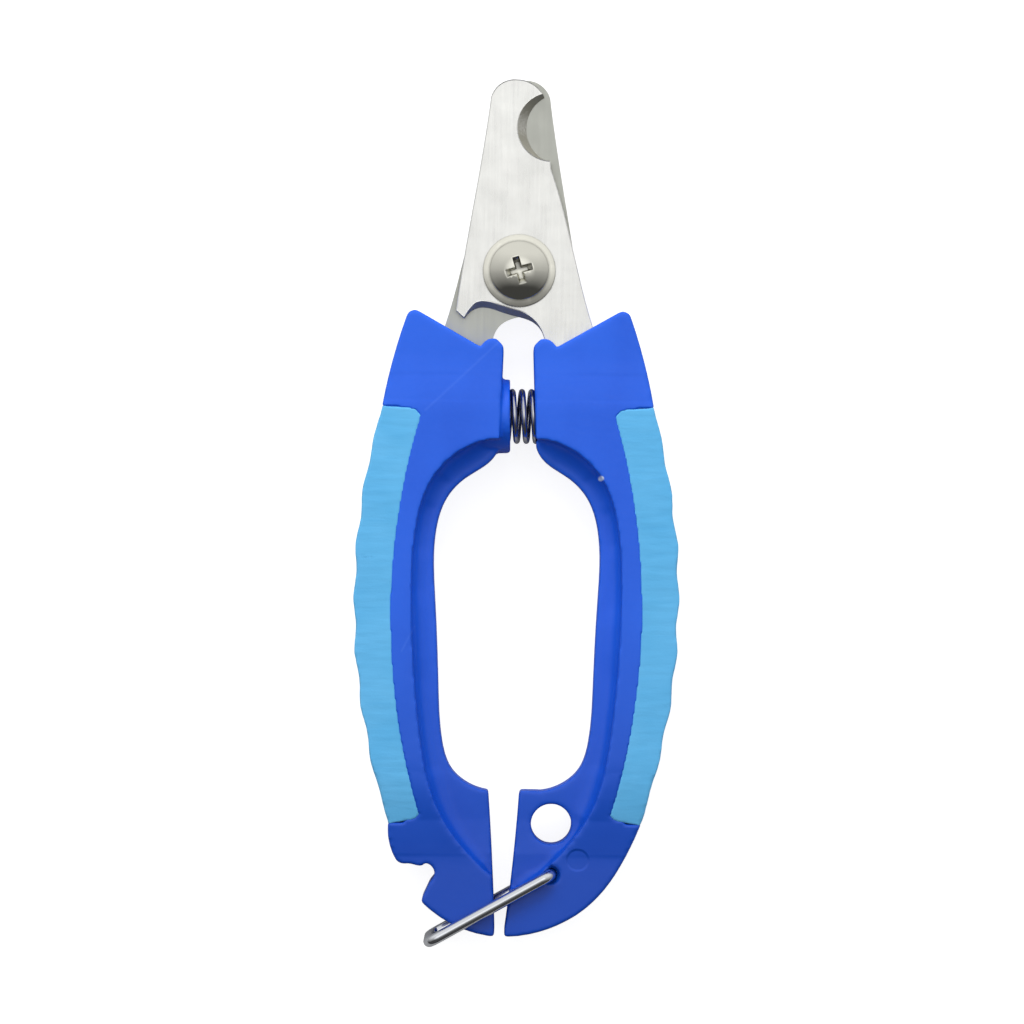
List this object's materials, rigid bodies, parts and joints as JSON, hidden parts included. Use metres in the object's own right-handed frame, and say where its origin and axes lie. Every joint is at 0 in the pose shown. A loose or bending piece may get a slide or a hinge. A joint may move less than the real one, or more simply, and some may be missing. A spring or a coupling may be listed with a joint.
{
  "type": "pet nail trimmer",
  "caption": "Scissor-type pet nail trimmer with half-round notched steel blades, moulded handles with soft grips, an opening spring and a wire bail that locks the handles shut.",
  "frame": {"origin": "centre of the assembly's footprint in the rest pose, on the plane z = 0 that the trimmer lies on; the pivot's axis stands at x = 0, y = 0.0353 m", "axes": "+Y along the trimmer towards the blade tips, +Z out of the front face (screw-head side), +X towards the handle with the hanging hole"},
  "size_m": [0.0476, 0.1265, 0.012],
  "materials": {
    "blade_steel": "satin stainless steel, finely ground",
    "bright_hardware": "bright nickel plate",
    "insert_plastic": "natural nylon",
    "handle_plastic": "semi-gloss moulded polypropylene",
    "grip_rubber": "matte thermoplastic rubber with fine surface marks",
    "spring_steel": "bright wound spring wire",
    "bail_wire": "polished plated wire"
  },
  "bodies": {
    "right_lever": {"front_blade": "blade_steel", "right_handle": "handle_plastic", "right_grip": "grip_rubber", "pivot_screw": "bright_hardware", "front_washer": "bright_hardware", "pivot_bush": "bright_hardware", "rear_washer": "bright_hardware", "lock_nut": "bright_hardware", "nut_insert": "insert_plastic", "handle_spring": "spring_steel"},
    "left_lever": {"rear_blade": "blade_steel", "left_handle": "handle_plastic", "left_grip": "grip_rubber"},
    "lock_bail": {"lock_bail": "bail_wire"}
  },
  "joints": [
    {"name": "handle_pivot", "type": "hinge", "parent": "right_lever", "child": "left_lever", "pos_m": [0, 0.03535, 0.006], "axis": [0, 0, -1], "range_deg": [-0.7, 15.5], "deforming": ["handle_spring"]},
    {"name": "bail_swing", "type": "hinge", "parent": "right_lever", "child": "lock_bail", "pos_m": [0.00533, -0.05253, 0.006], "axis": [0, 0, 1], "range_deg": [-30, 160]}
  ]
}
